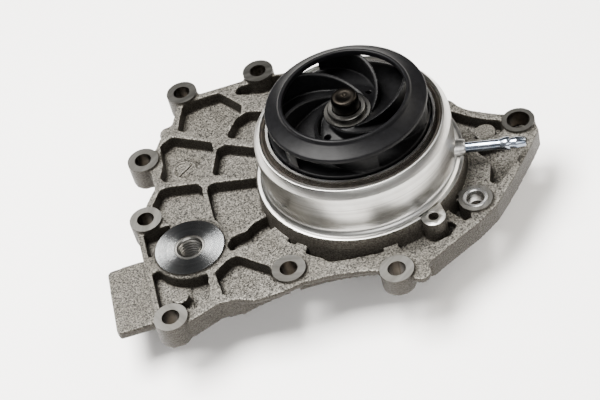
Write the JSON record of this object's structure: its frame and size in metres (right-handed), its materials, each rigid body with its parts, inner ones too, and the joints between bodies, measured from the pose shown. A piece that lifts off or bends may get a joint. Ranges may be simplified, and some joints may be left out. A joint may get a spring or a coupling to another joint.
{
  "type": "water pump",
  "caption": "Engine coolant pump: ribbed cast plate with a turned spigot ring, a shrouded plastic impeller on a bearing shaft, and a vacuum-moved sleeve that can shut its outlet.",
  "frame": {"origin": "where the pump axis crosses the plane of the bolt boss tops", "axes": "+Z along the shaft from the drive flange to the impeller, -X towards the tongue of the plate, +Y towards the pair of rear bosses"},
  "size_m": [0.2324, 0.1855, 0.0918],
  "materials": {
    "cast_aluminium": "blasted casting with turned faces",
    "turned_steel": "turned",
    "plated_steel": "zinc plated",
    "felt": "matt",
    "bearing_steel": "ground and polished",
    "spring_steel": "oiled",
    "cage_nylon": "moulded",
    "black_rubber": "moulded",
    "brown_rubber": "moulded",
    "dark_steel": "ground",
    "forged_steel": "phosphated and turned",
    "seal_brass": "pressed",
    "carbon": "lapped",
    "ceramic": "lapped",
    "sheet_steel": "deep drawn",
    "ptfe": "machined",
    "black_plastic": "satin moulding"
  },
  "bodies": {
    "pump_housing": {"housing": "cast_aluminium", "threaded_insert": "turned_steel", "locating_sleeve": "turned_steel", "vacuum_nipple": "plated_steel", "weep_plug": "felt", "bearing_outer_ring": "bearing_steel", "bearing_retaining_ring": "spring_steel", "front_bearing_seal": "black_rubber", "rear_bearing_seal": "black_rubber", "seal_case": "seal_brass", "seal_bellows": "black_rubber", "seal_spring": "spring_steel", "carbon_ring": "carbon", "chamber_cover": "plated_steel", "cover_seal": "black_rubber", "cover_snap_ring": "spring_steel", "sleeve_wiper": "brown_rubber", "return_spring": "spring_steel"},
    "rotor": {"shaft": "dark_steel", "drive_flange": "forged_steel", "mating_ring": "ceramic", "mating_ring_holder": "black_rubber", "impeller": "black_plastic", "impeller_shroud": "black_plastic", "impeller_bush": "turned_steel"},
    "ball_set": {"front_balls": "bearing_steel", "rear_balls": "bearing_steel", "front_cage": "cage_nylon", "rear_cage": "cage_nylon"},
    "sleeve": {"control_sleeve": "sheet_steel", "piston_outer_seal": "black_rubber", "piston_guide_ring": "ptfe"}
  },
  "joints": [
    {"name": "shaft_spin", "type": "hinge", "parent": "pump_housing", "child": "rotor", "pos_m": [0, 0, 0], "axis": [0, 0, 1], "continuous": true},
    {"name": "ball_set_spin", "type": "hinge", "parent": "pump_housing", "child": "ball_set", "pos_m": [0, 0, -0.01], "axis": [0, 0, 1], "continuous": true},
    {"name": "sleeve_slide", "type": "slide", "parent": "pump_housing", "child": "sleeve", "axis": [0, 0, 1], "range_m": [0, 0.0105], "stiffness_N_per_m": 2000, "springref_m": -0.006, "deforming": ["return_spring"]}
  ],
  "couplings": [
    {"joint": "ball_set_spin", "follows": "shaft_spin", "ratio": 0.3542}
  ]
}
